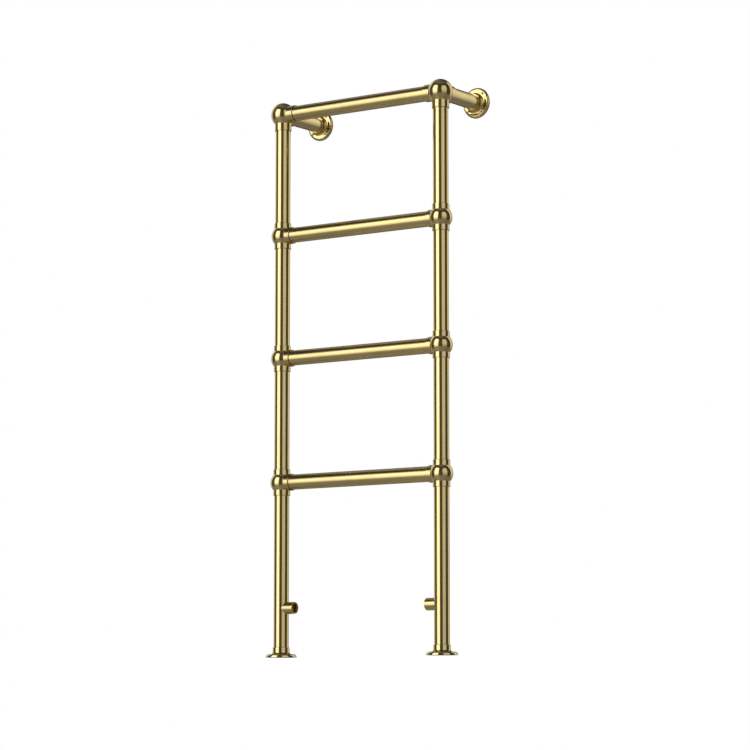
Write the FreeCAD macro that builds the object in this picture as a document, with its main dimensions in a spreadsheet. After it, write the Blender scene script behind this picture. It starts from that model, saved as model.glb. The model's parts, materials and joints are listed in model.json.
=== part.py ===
import FreeCAD, Part
import math
import os
import Sketcher

# Plumbed towel rail: two posts on floor flanges, four rails between them, ball fittings at every crossing,
# wall stays at the two top corners and threaded inlets near the floor.
# Millimetres, +Z up, wall on the +Y side, origin on the floor in the middle of the outline.

# Driving dimensions: name, value, meaning.
SIZES = (
    ("post_spacing", 480.0, "from one post axis to the other"),
    ("rail_pitch", 312.0, "from one rail axis to the next"),
    ("lowest_rail_height", 435.0, "from the floor to the lowest rail axis"),
    ("wall_reach", 164.0, "from the post axis to the wall"),
    ("tube_od", 38.0, "outside diameter of posts, rails and stays"),
    ("tube_wall", 1.5, "wall of every tube"),
    ("braze_gap", 0.05, "radial gap of a brazed joint"),
    ("socket_wall", 2.2, "wall of the sockets on the ball fittings"),
    ("tube_end_gap", 1.0, "room left between the tubes that meet in one ball"),
    ("stop_shoulder", 3.5, "height of the step that stops a tube in its socket"),
    ("mouth_chamfer", 0.6, "bevel round the mouth of a socket or an inlet"),
    ("tee_swell", 7.25, "how far a tee ball stands out beyond its sockets"),
    ("tee_collar", 4.3, "length of socket that shows past a tee ball"),
    ("corner_swell", 9.75, "how far a corner ball stands out beyond its sockets"),
    ("corner_collar", 10.5, "length of socket that shows past a corner ball"),
    ("stay_collar", 13.0, "length of stay socket that shows past a corner ball"),
    ("plate_width", 17.4, "flange plate from the neck to the rim"),
    ("rim_height", 7.5, "thickness of a flange at its rim, before the rim is rounded"),
    ("crown_height", 7.7, "thickness of a flange plate where the neck begins"),
    ("flange_height", 24.8, "from the back of a flange to the mouth of its neck"),
    ("flange_floor", 4.0, "thickness that closes the back of a wall flange"),
    ("neck_gap", 0.1, "radial running gap between a tube and a flange neck"),
    ("neck_wall", 2.0, "wall of a flange neck"),
    ("root_fillet", 4.5, "hollow round between plate and neck"),
    ("rim_round", 6.4, "round on the rim of a flange"),
    ("neck_round", 1.0, "round on the mouth of a flange neck"),
    ("screw_hole_d", 5.0, "fixing holes of a flange"),
    ("screw_edge", 8.5, "from the rim of a flange to the middle of a fixing hole"),
    ("slide_in", 6.0, "room for a wall flange to slide towards the rail"),
    ("grub_d", 4.0, "diameter of a grub screw"),
    ("grub_length", 2.2, "length of a grub screw"),
    ("grub_edge", 6.5, "from the mouth of a neck to the axis of its grub screw"),
    ("grub_hex", 2.0, "key size of a grub screw"),
    ("grub_hex_depth", 1.4, "depth of the key socket in a grub screw"),
    ("tip_gap", 0.25, "gap under the tip of a grub screw"),
    ("thread_gap", 0.05, "radial gap of a threaded joint"),
    ("inlet_height", 122.0, "from the floor to the inlet axis"),
    ("inlet_length", 23.5, "inlet stub beyond the side of the leg"),
    ("inlet_thread_d", 24.1, "thread core of an inlet"),
    ("inlet_thread_depth", 16.0, "length of thread in an inlet"),
    ("inlet_wall", 2.95, "wall of an inlet round its thread core"),
    ("inlet_port_d", 20.0, "water port from an inlet into its leg"),
    ("plug_height", 9.0, "height of the cup that closes a leg"),
    ("plug_floor", 3.0, "floor of the cup that closes a leg"),
    ("plug_wall", 2.0, "wall of the cup that closes a leg"),
    ("vent_offset", 70.0, "from the left post axis to the vent axis"),
    ("vent_boss_height", 6.0, "vent boss beyond the back of the top rail"),
    ("vent_boss_wall", 3.1, "wall of the vent boss round its thread"),
    ("vent_port_d", 6.0, "port from the top rail into the vent"),
    ("vent_thread_d", 9.7, "thread of the vent plug"),
    ("vent_shank_gap", 1.0, "room between the vent plug and the rail"),
    ("vent_seal_height", 1.5, "thickness of the vent seal"),
    ("vent_seal_width", 1.8, "width of the vent seal"),
    ("vent_hex", 14.0, "key size of the vent plug"),
    ("vent_hex_height", 5.0, "thickness of the hexagon on the vent plug"),
    ("bleed_d", 6.0, "diameter of the bleed screw"),
    ("bleed_gap", 0.1, "radial running gap round the bleed screw"),
    ("bleed_seat_gap", 0.4, "axial gap between the bleed screw and its seat"),
    ("bleed_orifice_d", 3.0, "hole that the bleed screw closes"),
    ("bleed_orifice_depth", 1.5, "length of the hole that the bleed screw closes"),
    ("bleed_key", 5.0, "square key of the bleed screw"),
    ("bleed_key_length", 5.0, "length of the square key"),
)

doc = FreeCAD.newDocument("towel_rail")
sheet = doc.addObject("Spreadsheet::Sheet", "sizes")
for row, (alias, value, meaning) in enumerate(SIZES, start=1):
    sheet.set(f"A{row}", meaning)
    sheet.set(f"B{row}", str(value))
    sheet.setAlias(f"B{row}", alias)
doc.recompute()

# Radii and distances that follow from the driving dimensions.
TUBE_R = "(sizes.tube_od / 2)"
TUBE_BORE_R = f"({TUBE_R} - sizes.tube_wall)"
SOCKET_R = f"({TUBE_R} + sizes.braze_gap)"
COLLAR_R = f"({SOCKET_R} + sizes.socket_wall)"
WATERWAY_R = f"({TUBE_R} - sizes.stop_shoulder)"
SOCKET_BOTTOM = f"({SOCKET_R} + sizes.tube_end_gap)"
TEE_BALL_R = f"({COLLAR_R} + sizes.tee_swell)"
TEE_REACH = f"({TEE_BALL_R} + sizes.tee_collar)"
CORNER_BALL_R = f"({COLLAR_R} + sizes.corner_swell)"
CORNER_REACH = f"({CORNER_BALL_R} + sizes.corner_collar)"
STAY_REACH = f"({CORNER_BALL_R} + sizes.stay_collar)"
NECK_BORE_R = f"({TUBE_R} + sizes.neck_gap)"
NECK_R = f"({NECK_BORE_R} + sizes.neck_wall)"
FLANGE_R = f"({NECK_R} + sizes.plate_width)"
SCREW_CIRCLE_R = f"({FLANGE_R} - sizes.screw_edge)"
GRUB_HOLE_R = "(sizes.grub_d / 2 + sizes.thread_gap)"
GRUB_HEIGHT = "(sizes.flange_height - sizes.grub_edge)"
GRUB_TIP_R = f"({TUBE_R} + sizes.tip_gap)"
INLET_THREAD_R = "(sizes.inlet_thread_d / 2)"
INLET_R = f"({INLET_THREAD_R} + sizes.inlet_wall)"
INLET_REACH = f"({TUBE_R} + sizes.inlet_length)"
INLET_BOTTOM = f"({INLET_REACH} - sizes.inlet_thread_depth)"
VENT_THREAD_R = "(sizes.vent_thread_d / 2)"
VENT_BORE_R = f"({VENT_THREAD_R} + sizes.thread_gap)"
VENT_BOSS_R = f"({VENT_BORE_R} + sizes.vent_boss_wall)"
VENT_TOP = f"({TUBE_R} + sizes.vent_boss_height)"
VENT_SHANK = "(sizes.vent_boss_height - sizes.vent_shank_gap)"
VENT_PLUG_TOP = "(sizes.vent_seal_height + sizes.vent_hex_height)"
ORIFICE_R = "(sizes.bleed_orifice_d / 2)"
BLEED_R = "(sizes.bleed_d / 2)"
BLEED_BORE_R = f"({BLEED_R} + sizes.bleed_gap)"

# Places of the posts, the wall and the rails.
POST_X = "(sizes.post_spacing / 2)"
POST_Y = f"(({FLANGE_R} - sizes.wall_reach) / 2)"
WALL_Y = f"({POST_Y} + sizes.wall_reach)"
LEVELS = ("lower", "middle", "upper", "top")
RAIL_Z = [f"(sizes.lowest_rail_height + {level} * sizes.rail_pitch)" for level in range(len(LEVELS))]
TOP_Z = RAIL_Z[-1]
SIDES = {"left": -1, "right": 1}
SCREWS_PER_FLANGE = 4

# Turns that lay a piece made along +Z onto another axis.
UPRIGHT = FreeCAD.Rotation()
ALONG_X = FreeCAD.Rotation(FreeCAD.Vector(0, 1, 0), 90)
ALONG_Y = FreeCAD.Rotation(FreeCAD.Vector(1, 0, 0), -90)
AGAINST_Y = FreeCAD.Rotation(FreeCAD.Vector(1, 0, 0), 90)

POINT_TOLERANCE = 1e-6

nodes = []


def number(formula):
    return float(sheet.evalExpression(formula))


def new_body(label):
    body = doc.addObject("PartDesign::Body", label)
    body.Label = label
    return body


def place(piece, across, back, up, turn=UPRIGHT):
    """Set the piece at three formulas, turned onto its axis."""
    piece.Placement = FreeCAD.Placement(FreeCAD.Vector(), turn)
    for axis, formula in zip("xyz", (across, back, up)):
        piece.setExpression(f"Placement.Base.{axis}", formula)


def sketch_on(body, plane, name):
    sketch = body.newObject("Sketcher::SketchObject", name)
    support = next(item for item in body.Origin.OriginFeatures if item.Role == plane)
    sketch.AttachmentSupport = [(support, "")]
    sketch.MapMode = "FlatFace"
    return sketch


def pin_point(sketch, geometry, point, across, along):
    """Hold one point of a sketch at two formulas."""
    for kind, axis, formula in (("DistanceX", -2, across), ("DistanceY", -1, along)):
        if formula == "0":
            sketch.addConstraint(Sketcher.Constraint("PointOnObject", geometry, point, axis))
        else:
            rule = Sketcher.Constraint(kind, -1, 1, geometry, point, number(formula))
            sketch.setExpression(f"Constraints[{sketch.addConstraint(rule)}]", formula)


def corner_ends(points, index, radius):
    """Where the two sides at a corner end: at the corner itself, or at the ends of its round."""
    here = points[index]
    before = (points[index - 1] - here).normalize()
    after = (points[(index + 1) % len(points)] - here).normalize()
    setback = radius / math.tan(before.getAngle(after) / 2) if radius else 0
    return here + before * setback, here + after * setback


def round_corner(sketch, sides, ends, corner, across, along, radius):
    """Tangent arc between two sides whose meeting point stays at two formulas."""
    start, end = ends
    chord = (start + end) / 2
    to_corner = (corner - chord).normalize()
    half_width = (end - start).Length / 2
    depth = number(radius) - math.sqrt(number(radius) ** 2 - half_width ** 2)
    arc = sketch.addGeometry(Part.Arc(start, chord + to_corner * depth, end), False)
    near = 1 if sketch.getPoint(arc, 1).isEqual(start, POINT_TOLERANCE) else 2
    sketch.addConstraint(Sketcher.Constraint("Tangent", sides[0], 2, arc, near))
    sketch.addConstraint(Sketcher.Constraint("Tangent", arc, 3 - near, sides[1], 1))
    rule = sketch.addConstraint(Sketcher.Constraint("Radius", arc, number(radius)))
    sketch.setExpression(f"Constraints[{rule}]", radius)
    meeting = sketch.addGeometry(Part.Point(corner), True)
    pin_point(sketch, meeting, 1, across, along)
    for side in sides:
        sketch.addConstraint(Sketcher.Constraint("PointOnObject", meeting, 1, side))


def outline(body, plane, name, corners):
    """Closed outline. A corner is two formulas, and a third, its radius, where it is rounded."""
    sketch = sketch_on(body, plane, name)
    count = len(corners)
    points = [FreeCAD.Vector(number(corner[0]), number(corner[1]), 0) for corner in corners]
    radii = [corner[2] if len(corner) == 3 else None for corner in corners]
    ends = [corner_ends(points, i, number(radii[i]) if radii[i] else 0) for i in range(count)]
    for i in range(count):
        sketch.addGeometry(Part.LineSegment(ends[i][1], ends[(i + 1) % count][0]), False)
    for i, (across, along, *_) in enumerate(corners):
        sides = ((i - 1) % count, i)
        if radii[i]:
            round_corner(sketch, sides, ends[i], points[i], across, along, radii[i])
        else:
            sketch.addConstraint(Sketcher.Constraint("Coincident", sides[0], 2, sides[1], 1))
            pin_point(sketch, i, 1, across, along)
    return sketch


def circle(sketch, radius, across="0", along="0"):
    middle = FreeCAD.Vector(number(across), number(along), 0)
    ring = Part.Circle(middle, FreeCAD.Vector(0, 0, 1), number(radius))
    geometry = sketch.addGeometry(ring, False)
    rule = sketch.addConstraint(Sketcher.Constraint("Radius", geometry, number(radius)))
    sketch.setExpression(f"Constraints[{rule}]", radius)
    pin_point(sketch, geometry, 3, across, along)


def revolve(body, kind, sketch, axis):
    feature = body.newObject(f"PartDesign::{kind}", f"{sketch.Name}_{kind.lower()}")
    feature.Profile = sketch
    feature.ReferenceAxis = (sketch, [axis])
    feature.Angle = 360
    return feature


def must_cut(feature):
    """Stop if a cut took nothing away from the solid before it."""
    doc.recompute()
    if feature.Shape.Volume >= feature.BaseFeature.Shape.Volume:
        raise RuntimeError(f"{feature.Name} cuts nothing")


def pocket(body, sketch, depth, reverse=False):
    cut = body.newObject("PartDesign::Pocket", f"{sketch.Name}_pocket")
    cut.Profile = sketch
    cut.Type = "Length"
    cut.Reversed = reverse
    cut.setExpression("Length", depth)
    must_cut(cut)
    return cut


def primitive(body, kind, name, sizes, across="0", back="0", up="0", turn=UPRIGHT):
    """Add or take away a basic solid whose sizes and place are formulas."""
    solid = body.newObject(f"PartDesign::{kind}", name)
    for size, formula in sizes.items():
        solid.setExpression(size, formula)
    place(solid, across, back, up, turn)
    if kind.startswith("Subtractive"):
        must_cut(solid)
    return solid


def tube(label, length):
    body = new_body(label)
    section = sketch_on(body, "XY_Plane", "section")
    circle(section, TUBE_R)
    circle(section, TUBE_BORE_R)
    pad = body.newObject("PartDesign::Pad", "tube")
    pad.Profile = section
    pad.setExpression("Length", length)
    nodes.append(body)
    return body


# A socket of a ball fitting: the plane of its outline, its axis in that plane, its direction.
SOCKETS = {
    "up": ("XZ_Plane", "V_Axis", 1),
    "down": ("XZ_Plane", "V_Axis", -1),
    "rail_right": ("XZ_Plane", "H_Axis", 1),
    "rail_left": ("XZ_Plane", "H_Axis", -1),
    "stay": ("YZ_Plane", "H_Axis", 1),
}


def socket_outline(body, name, socket, profile):
    """Half section of a socket, from pairs of distance along its axis and radius."""
    plane, axis, direction = SOCKETS[socket]
    corners = []
    for distance, radius in profile:
        along = distance if distance == "0" else f"{direction} * {distance}"
        corners.append((radius, along) if axis == "V_Axis" else (along, radius))
    return outline(body, plane, f"{socket}_{name}", corners), axis


def ball_fitting(label, ball_radius, reaches):
    """Ball with sockets: collars turned onto the ball, then stepped bores that meet inside it."""
    body = new_body(label)
    primitive(body, "AdditiveSphere", "ball", {"Radius": ball_radius})
    for socket, reach in reaches.items():
        bevel_start = f"({reach} - sizes.mouth_chamfer)"
        bevel_radius = f"({COLLAR_R} - sizes.mouth_chamfer)"
        profile = [("0", "0"), ("0", COLLAR_R), (bevel_start, COLLAR_R), (reach, bevel_radius), (reach, "0")]
        revolve(body, "Revolution", *socket_outline(body, "collar", socket, profile))
    for socket, reach in reaches.items():
        profile = [(SOCKET_BOTTOM, "0"), (SOCKET_BOTTOM, SOCKET_R), (reach, SOCKET_R), (reach, "0")]
        if socket != "stay":
            waterway = [("0", "0"), ("0", WATERWAY_R), (SOCKET_BOTTOM, WATERWAY_R)]
            profile = waterway + profile[1:]
        must_cut(revolve(body, "Groove", *socket_outline(body, "bore", socket, profile)))
    if "up" not in reaches:
        primitive(body, "SubtractiveSphere", "elbow", {"Radius": WATERWAY_R})
    nodes.append(body)
    return body


# Back of a flange: closed behind the stay of a wall flange, bored through for a leg on the floor.
CLOSED_BACK = [(NECK_BORE_R, "sizes.flange_floor"), ("0", "sizes.flange_floor"), ("0", "0")]
OPEN_BACK = [(NECK_BORE_R, "0")]


def flange(label, back):
    """Turned flange: a slightly crowned plate, a hollow round up to the neck, and a bore for the tube."""
    body = new_body(label)
    profile = outline(body, "XZ_Plane", "profile", [
        (FLANGE_R, "0"),
        (FLANGE_R, "sizes.rim_height", "sizes.rim_round"),
        (NECK_R, "sizes.crown_height", "sizes.root_fillet"),
        (NECK_R, "sizes.flange_height", "sizes.neck_round"),
        (NECK_BORE_R, "sizes.flange_height"),
        *back,
    ])
    revolve(body, "Revolution", profile, "V_Axis")
    grub_hole = sketch_on(body, "XZ_Plane", "grub_hole")
    circle(grub_hole, GRUB_HOLE_R, "0", GRUB_HEIGHT)
    pocket(body, grub_hole, NECK_R)
    first_hole = sketch_on(body, "XY_Plane", "screw_hole")
    circle(first_hole, "sizes.screw_hole_d / 2", f"{SCREW_CIRCLE_R} * cos(45)", f"{SCREW_CIRCLE_R} * sin(45)")
    hole = pocket(body, first_hole, "sizes.flange_height", reverse=True)
    holes = body.newObject("PartDesign::PolarPattern", "screw_holes")
    holes.Originals = [hole]
    holes.Axis = (first_hole, ["N_Axis"])
    holes.Angle = 360
    holes.Occurrences = SCREWS_PER_FLANGE
    body.Tip = holes
    nodes.append(body)
    return body


def grub_screw(label):
    body = new_body(label)
    shank = {"Radius": "sizes.grub_d / 2", "Height": "sizes.grub_length"}
    primitive(body, "AdditiveCylinder", "shank", shank)
    key = {"Circumradius": "sizes.grub_hex / 2 / cos(30)", "Height": "sizes.grub_hex_depth"}
    primitive(body, "SubtractivePrism", "key", key, up="sizes.grub_length - sizes.grub_hex_depth")
    return body


def inlet(label, direction):
    """Threaded stub with a water port, saddled onto the side of the leg."""
    body = new_body(label)
    bevel_start = f"({INLET_REACH} - sizes.mouth_chamfer)"
    bevel_radius = f"({INLET_R} - sizes.mouth_chamfer)"
    stub = [("0", "0"), ("0", INLET_R), (bevel_start, INLET_R)]
    stub += [(INLET_REACH, bevel_radius), (INLET_REACH, "0")]
    revolve(body, "Revolution", *socket_outline(body, "stub", direction, stub))
    port_r = "(sizes.inlet_port_d / 2)"
    bore = [("0", "0"), ("0", port_r), (INLET_BOTTOM, port_r), (INLET_BOTTOM, INLET_THREAD_R)]
    bore += [(INLET_REACH, INLET_THREAD_R), (INLET_REACH, "0")]
    must_cut(revolve(body, "Groove", *socket_outline(body, "bore", direction, bore)))
    saddle = {"Radius": SOCKET_R, "Height": f"2 * {INLET_R}"}
    primitive(body, "SubtractiveCylinder", "saddle", saddle, up=f"-1 * {INLET_R}")
    nodes.append(body)
    return body


def leg_plug(label):
    """Cup brazed into the foot of a leg, floor down."""
    body = new_body(label)
    outside = f"({TUBE_BORE_R} - sizes.braze_gap)"
    inside = f"({outside} - sizes.plug_wall)"
    cup = outline(body, "XZ_Plane", "cup", [
        ("0", "0"),
        (outside, "0"),
        (outside, "sizes.plug_height"),
        (inside, "sizes.plug_height"),
        (inside, "sizes.plug_floor"),
        ("0", "sizes.plug_floor"),
    ])
    revolve(body, "Revolution", cup, "V_Axis")
    nodes.append(body)
    return body


def vent_boss():
    """Ring saddled onto the back of the top rail, threaded for the vent plug."""
    body = new_body("vent_boss")
    ring = outline(body, "XZ_Plane", "ring", [
        (VENT_BORE_R, "0"),
        (VENT_BOSS_R, "0"),
        (VENT_BOSS_R, f"{VENT_TOP} - sizes.mouth_chamfer"),
        (f"{VENT_BOSS_R} - sizes.mouth_chamfer", VENT_TOP),
        (VENT_BORE_R, VENT_TOP),
    ])
    revolve(body, "Revolution", ring, "V_Axis")
    saddle = {"Radius": SOCKET_R, "Height": f"2 * {VENT_BOSS_R}"}
    primitive(body, "SubtractiveCylinder", "saddle", saddle, across=f"-1 * {VENT_BOSS_R}", turn=ALONG_X)
    nodes.append(body)
    return body


def vent_seal():
    body = new_body("vent_seal")
    outside = f"({VENT_BORE_R} + sizes.vent_seal_width)"
    ring = outline(body, "XZ_Plane", "ring", [
        (VENT_BORE_R, "0"),
        (outside, "0"),
        (outside, "sizes.vent_seal_height"),
        (VENT_BORE_R, "sizes.vent_seal_height"),
    ])
    revolve(body, "Revolution", ring, "V_Axis")
    nodes.append(body)
    return body


# Seat of the bleed screw, measured from the face of the vent boss.
SEAT_START = f"(sizes.bleed_orifice_depth - {VENT_SHANK})"
SEAT_END = f"({SEAT_START} + {BLEED_BORE_R} - {ORIFICE_R})"


def vent_plug():
    """Hexagon plug with a bore that narrows to a conical seat."""
    body = new_body("vent_plug")
    shank = outline(body, "XZ_Plane", "shank", [
        ("0", f"-1 * {VENT_SHANK}"),
        (VENT_THREAD_R, f"-1 * {VENT_SHANK}"),
        (VENT_THREAD_R, "sizes.vent_seal_height"),
        ("0", "sizes.vent_seal_height"),
    ])
    revolve(body, "Revolution", shank, "V_Axis")
    head = {"Circumradius": "sizes.vent_hex / 2 / cos(30)", "Height": "sizes.vent_hex_height"}
    primitive(body, "AdditivePrism", "hexagon", head, up="sizes.vent_seal_height")
    bore = outline(body, "XZ_Plane", "bore", [
        ("0", f"-1 * {VENT_SHANK}"),
        (ORIFICE_R, f"-1 * {VENT_SHANK}"),
        (ORIFICE_R, SEAT_START),
        (BLEED_BORE_R, SEAT_END),
        (BLEED_BORE_R, VENT_PLUG_TOP),
        ("0", VENT_PLUG_TOP),
    ])
    must_cut(revolve(body, "Groove", bore, "V_Axis"))
    nodes.append(body)
    return body


def bleed_screw():
    """Conical-tipped screw with a square key outside the plug."""
    body = new_body("bleed_screw")
    tip = f"({SEAT_START} + sizes.bleed_seat_gap)"
    shoulder = f"({VENT_PLUG_TOP} + sizes.bleed_seat_gap)"
    shank = outline(body, "XZ_Plane", "shank", [
        ("0", tip),
        (ORIFICE_R, tip),
        (BLEED_R, f"{tip} + {BLEED_R} - {ORIFICE_R}"),
        (BLEED_R, shoulder),
        ("0", shoulder),
    ])
    revolve(body, "Revolution", shank, "V_Axis")
    key = {"Length": "sizes.bleed_key", "Width": "sizes.bleed_key", "Height": "sizes.bleed_key_length"}
    half_key = "-1 * sizes.bleed_key / 2"
    primitive(body, "AdditiveBox", "square_key", key, half_key, half_key, shoulder)
    nodes.append(body)
    return body


# Posts: ball fittings, the tubes between them, the leg and what it stands on.
foot_screws = []
for side, sign in SIDES.items():
    post_x = f"({sign} * {POST_X})"
    inward = "rail_right" if side == "left" else "rail_left"
    for level, name in enumerate(LEVELS):
        if name == "top":
            reaches = {"down": CORNER_REACH, inward: CORNER_REACH, "stay": STAY_REACH}
            fitting = ball_fitting(f"{side}_top_corner_ball", CORNER_BALL_R, reaches)
        else:
            reaches = {"up": TEE_REACH, "down": TEE_REACH, inward: TEE_REACH}
            fitting = ball_fitting(f"{side}_{name}_tee_ball", TEE_BALL_R, reaches)
            segment = tube(f"{side}_{name}_post_tube", f"sizes.rail_pitch - 2 * {SOCKET_BOTTOM}")
            place(segment, post_x, POST_Y, f"{RAIL_Z[level]} + {SOCKET_BOTTOM}")
        place(fitting, post_x, POST_Y, RAIL_Z[level])

    leg = tube(f"{side}_leg_tube", f"{RAIL_Z[0]} - {SOCKET_BOTTOM}")
    port = sketch_on(leg, "YZ_Plane", "inlet_port")
    circle(port, "sizes.inlet_port_d / 2", "0", "sizes.inlet_height")
    pocket(leg, port, TUBE_R, reverse=(side == "left"))
    place(leg, post_x, POST_Y, "0")
    place(leg_plug(f"{side}_leg_plug"), post_x, POST_Y, "0")
    place(inlet(f"{side}_inlet", inward), post_x, POST_Y, "sizes.inlet_height")

    place(flange(f"{side}_foot_flange", OPEN_BACK), post_x, POST_Y, "0")
    screw = grub_screw(f"{side}_foot_grub_screw")
    place(screw, post_x, f"{POST_Y} + {GRUB_TIP_R}", GRUB_HEIGHT, ALONG_Y)
    foot_screws.append(screw)

    stay_length = f"sizes.wall_reach - sizes.flange_floor - sizes.slide_in - {SOCKET_BOTTOM}"
    stay = tube(f"{side}_wall_stay", stay_length)
    place(stay, post_x, f"{POST_Y} + {SOCKET_BOTTOM}", TOP_Z, ALONG_Y)
    place(flange(f"{side}_wall_flange", CLOSED_BACK), post_x, WALL_Y, TOP_Z, AGAINST_Y)
    screw = grub_screw(f"{side}_wall_grub_screw")
    place(screw, post_x, f"{WALL_Y} - {GRUB_HEIGHT}", f"{TOP_Z} + {GRUB_TIP_R}")
    nodes.append(screw)

foot_group = doc.addObject("Part::Compound", "foot_grub_screws")
foot_group.Label = "foot_grub_screws"
foot_group.Links = foot_screws
nodes.append(foot_group)

# Rails, the top one with the port of its air vent.
for level, name in enumerate(LEVELS):
    rail = tube(f"{name}_rail", f"sizes.post_spacing - 2 * {SOCKET_BOTTOM}")
    if name == "top":
        port = sketch_on(rail, "XZ_Plane", "vent_port")
        circle(port, "sizes.vent_port_d / 2", "0", f"sizes.vent_offset - {SOCKET_BOTTOM}")
        pocket(rail, port, TUBE_R)
    place(rail, f"{SOCKET_BOTTOM} - {POST_X}", POST_Y, RAIL_Z[level], ALONG_X)

# Air vent at the back of the top rail.
VENT_X = f"sizes.vent_offset - {POST_X}"
place(vent_boss(), VENT_X, POST_Y, TOP_Z, ALONG_Y)
for piece in (vent_seal(), vent_plug(), bleed_screw()):
    place(piece, VENT_X, f"{POST_Y} + {VENT_TOP}", TOP_Z, ALONG_Y)

doc.recompute()

for item in doc.Objects:
    if "Invalid" in item.State or "Error" in item.State:
        raise RuntimeError(f"{item.Label} did not compute: {item.State}")
for node in nodes:
    if node.Shape.isNull() or not node.Shape.isValid():
        raise RuntimeError(f"{node.Label} has no valid shape")

os.makedirs("parts", exist_ok=True)
for node in nodes:
    node.Shape.exportStep(f"parts/{node.Label}.step")
    print(f"{node.Label}: {len(node.Shape.Solids)} solid, {node.Shape.Volume / 1000:.2f} cm3")
print(f"{len(nodes)} nodes")
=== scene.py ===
# %% [markdown]
# # A plumbed towel rail in satin brass
# Two posts, four rails, ball fittings at every crossing, stays to the wall and flanges on the
# floor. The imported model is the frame: it says where each piece lies and which body carries it,
# and nothing here moves it. Its meshes are facets, and brass shows every facet, so each shiny
# piece is modelled again with smooth faces and then gets a finish made of nodes.

# %% Load the frame
import json
import math

import bmesh
import bpy
from mathutils import Matrix, Vector


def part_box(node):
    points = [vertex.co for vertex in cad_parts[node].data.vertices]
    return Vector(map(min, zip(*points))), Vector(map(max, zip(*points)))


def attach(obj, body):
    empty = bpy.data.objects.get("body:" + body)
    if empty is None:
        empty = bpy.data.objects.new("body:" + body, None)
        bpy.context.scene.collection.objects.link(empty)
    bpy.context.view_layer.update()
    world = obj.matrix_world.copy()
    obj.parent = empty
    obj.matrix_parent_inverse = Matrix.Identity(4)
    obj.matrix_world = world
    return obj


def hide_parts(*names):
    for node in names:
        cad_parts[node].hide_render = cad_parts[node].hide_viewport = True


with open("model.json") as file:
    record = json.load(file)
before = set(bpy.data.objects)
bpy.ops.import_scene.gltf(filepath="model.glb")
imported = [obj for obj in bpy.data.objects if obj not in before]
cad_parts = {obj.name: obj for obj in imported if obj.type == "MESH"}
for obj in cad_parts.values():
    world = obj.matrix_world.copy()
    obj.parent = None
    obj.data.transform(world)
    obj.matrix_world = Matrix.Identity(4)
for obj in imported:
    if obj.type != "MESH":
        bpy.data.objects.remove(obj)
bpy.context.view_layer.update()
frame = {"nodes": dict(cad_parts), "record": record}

# %% [markdown]
# ## Camera
# The photograph looks up a little from the right-hand front, from below floor level and from far
# away, so the posts stay almost parallel. A camera can be set by eye, but then it is off by a
# little. This one was worked out from the places of the balls and feet in the photograph, so its
# focal length is kept in pixels and becomes a lens only here.

# %% Camera
PHOTO_WIDTH = 750
FOCAL_PIXELS = 2813.0
SENSOR_WIDTH = 36.0
CAMERA_PLACE = (3.9749, -5.6784, -0.1463)
CAMERA_BEARING = 34.987
CAMERA_RISE = 6.929
# A camera that isn't turned looks straight down, and this many degrees make it level.
LEVEL_VIEW = 90

scene = bpy.context.scene
scene.view_settings.view_transform = "Standard"
lens = bpy.data.cameras.new("camera")
lens.sensor_width = SENSOR_WIDTH
lens.lens = SENSOR_WIDTH * FOCAL_PIXELS / PHOTO_WIDTH
camera = bpy.data.objects.new("camera", lens)
camera.location = CAMERA_PLACE
camera.rotation_euler = (math.radians(LEVEL_VIEW + CAMERA_RISE), 0, math.radians(CAMERA_BEARING))
scene.collection.objects.link(camera)
scene.camera = camera
print("lens in mm:", round(lens.lens, 1))

# %% [markdown]
# ## Building with nodes
# Every finish below, and the room itself, is a small tree of nodes. Three helpers keep the trees
# short to write: one makes a node with its settings and either links or sets each input, one does
# one sum, and one makes a ramp of greys.


# %% Node helpers
def add_node(tree, kind, inputs=None, **settings):
    """New node; an input that is a socket is linked, any other is set."""
    node = tree.nodes.new(kind)
    for name, value in settings.items():
        setattr(node, name, value)
    for key, value in (inputs or {}).items():
        if isinstance(value, bpy.types.NodeSocket):
            tree.links.new(value, node.inputs[key])
        else:
            node.inputs[key].default_value = value
    return node


def calculate(tree, operation, *values):
    """One Math node, handed back as its output socket."""
    inputs = dict(enumerate(values))
    return add_node(tree, "ShaderNodeMath", inputs, operation=operation).outputs[0]


def grey_ramp(tree, factor, stops):
    """Colour ramp of greys, from pairs of position and level."""
    node = add_node(tree, "ShaderNodeValToRGB", {"Fac": factor})
    elements = node.color_ramp.elements
    while len(elements) < len(stops):
        elements.new(1.0)
    for element, (position, level) in zip(elements, stops):
        element.position = position
        element.color = (level, level, level, 1)
    return node.outputs["Color"]


print("helpers for nodes: add_node, calculate and grey_ramp")

# %% [markdown]
# ## The room
# A brass tube is a bent mirror, so the stripes on it are pictures of the room. They could come
# from large lamps and black flags, but lamps close by would make the stripes wander along a post
# of 1.4 m. Here the room is painted on the world by direction, as if far away. First each
# direction becomes two angles: its bearing, counted to the right from the camera, and its height
# above level.

# %% Directions in the room
world = bpy.data.worlds.new("room")
world.use_nodes = True
scene.world = world
tree = world.node_tree
tree.nodes.clear()
direction = add_node(tree, "ShaderNodeTexCoord").outputs["Generated"]
turn_back = (0, 0, math.radians(-CAMERA_BEARING))
turned = add_node(tree, "ShaderNodeMapping", {"Vector": direction, "Rotation": turn_back})
parts = add_node(tree, "ShaderNodeSeparateXYZ", {"Vector": turned.outputs["Vector"]}).outputs
towards_camera = calculate(tree, "MULTIPLY", parts["Y"], -1.0)
bearing = calculate(tree, "DEGREES", calculate(tree, "ARCTAN2", parts["X"], towards_camera))
height = calculate(tree, "DEGREES", calculate(tree, "ARCSINE", parts["Z"]))
print("room turned to the camera by", CAMERA_BEARING, "degrees")

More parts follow.
